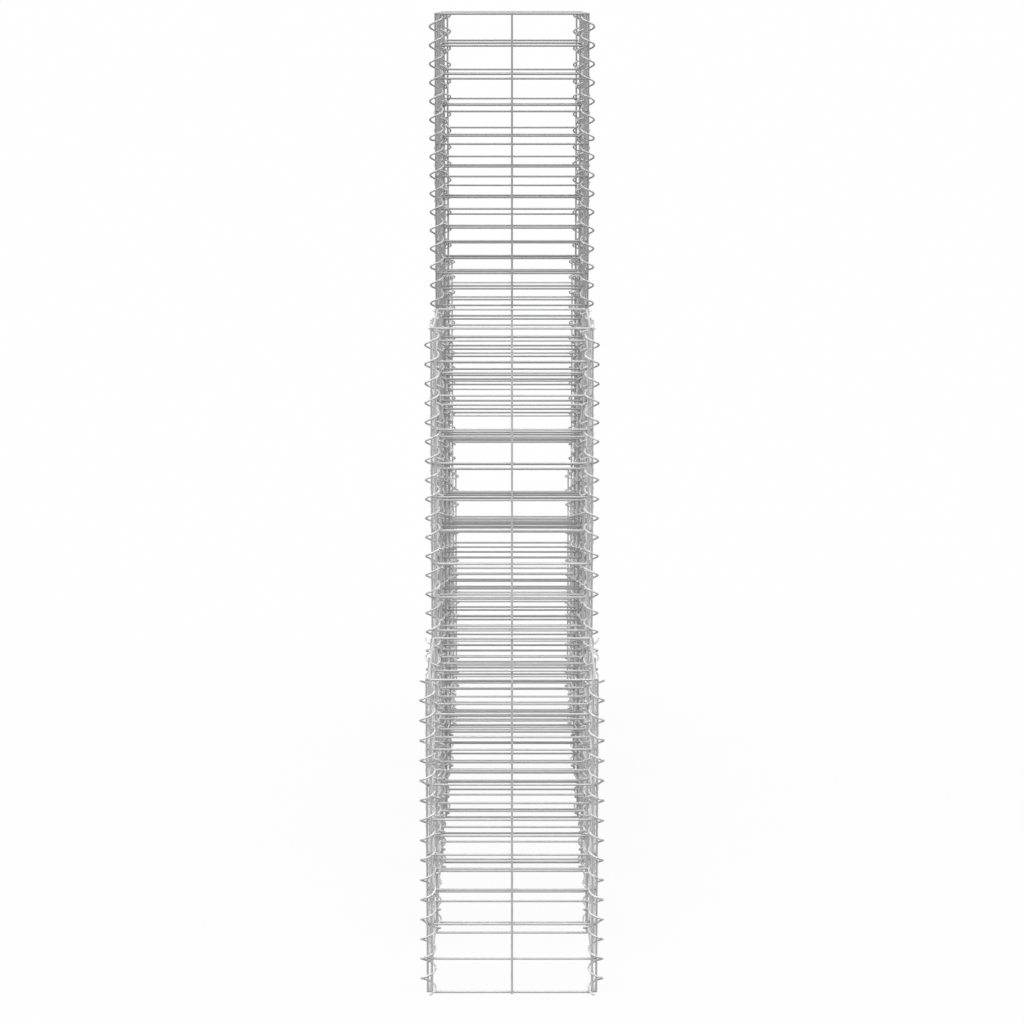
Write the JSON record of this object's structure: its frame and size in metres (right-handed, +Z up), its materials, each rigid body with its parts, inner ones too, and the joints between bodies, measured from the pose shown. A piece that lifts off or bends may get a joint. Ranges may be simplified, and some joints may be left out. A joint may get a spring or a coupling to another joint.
{
  "type": "gabion wall",
  "caption": "Stepped row of open square welded-wire gabion baskets, laced at their corners by wire spirals, to be filled with stones as a free-standing wall.",
  "frame": {"origin": "on the ground, at the middle of the row of baskets", "axes": "+X across the row, +Y along the row away from the nearest low basket, +Z up"},
  "size_m": [0.2818, 1.7798, 1.5],
  "materials": {
    "mesh_wire": "galvanised",
    "spiral_wire": "galvanised"
  },
  "bodies": {
    "root": {"bay_1_front_mesh": "mesh_wire", "bay_1_back_mesh": "mesh_wire", "bay_1_left_mesh": "mesh_wire", "bay_1_right_mesh": "mesh_wire", "bay_1_corner_spirals": "spiral_wire", "bay_2_front_mesh": "mesh_wire", "bay_2_back_mesh": "mesh_wire", "bay_2_left_mesh": "mesh_wire", "bay_2_right_mesh": "mesh_wire", "bay_2_corner_spirals": "spiral_wire", "bay_3_front_mesh": "mesh_wire", "bay_3_back_mesh": "mesh_wire", "bay_3_left_mesh": "mesh_wire", "bay_3_right_mesh": "mesh_wire", "bay_3_corner_spirals": "spiral_wire", "bay_4_front_mesh": "mesh_wire", "bay_4_back_mesh": "mesh_wire", "bay_4_left_mesh": "mesh_wire", "bay_4_right_mesh": "mesh_wire", "bay_4_corner_spirals": "spiral_wire", "bay_5_front_mesh": "mesh_wire", "bay_5_back_mesh": "mesh_wire", "bay_5_left_mesh": "mesh_wire", "bay_5_right_mesh": "mesh_wire", "bay_5_corner_spirals": "spiral_wire", "bay_6_front_mesh": "mesh_wire", "bay_6_back_mesh": "mesh_wire", "bay_6_left_mesh": "mesh_wire", "bay_6_right_mesh": "mesh_wire", "bay_6_corner_spirals": "spiral_wire"}
  },
  "joints": []
}
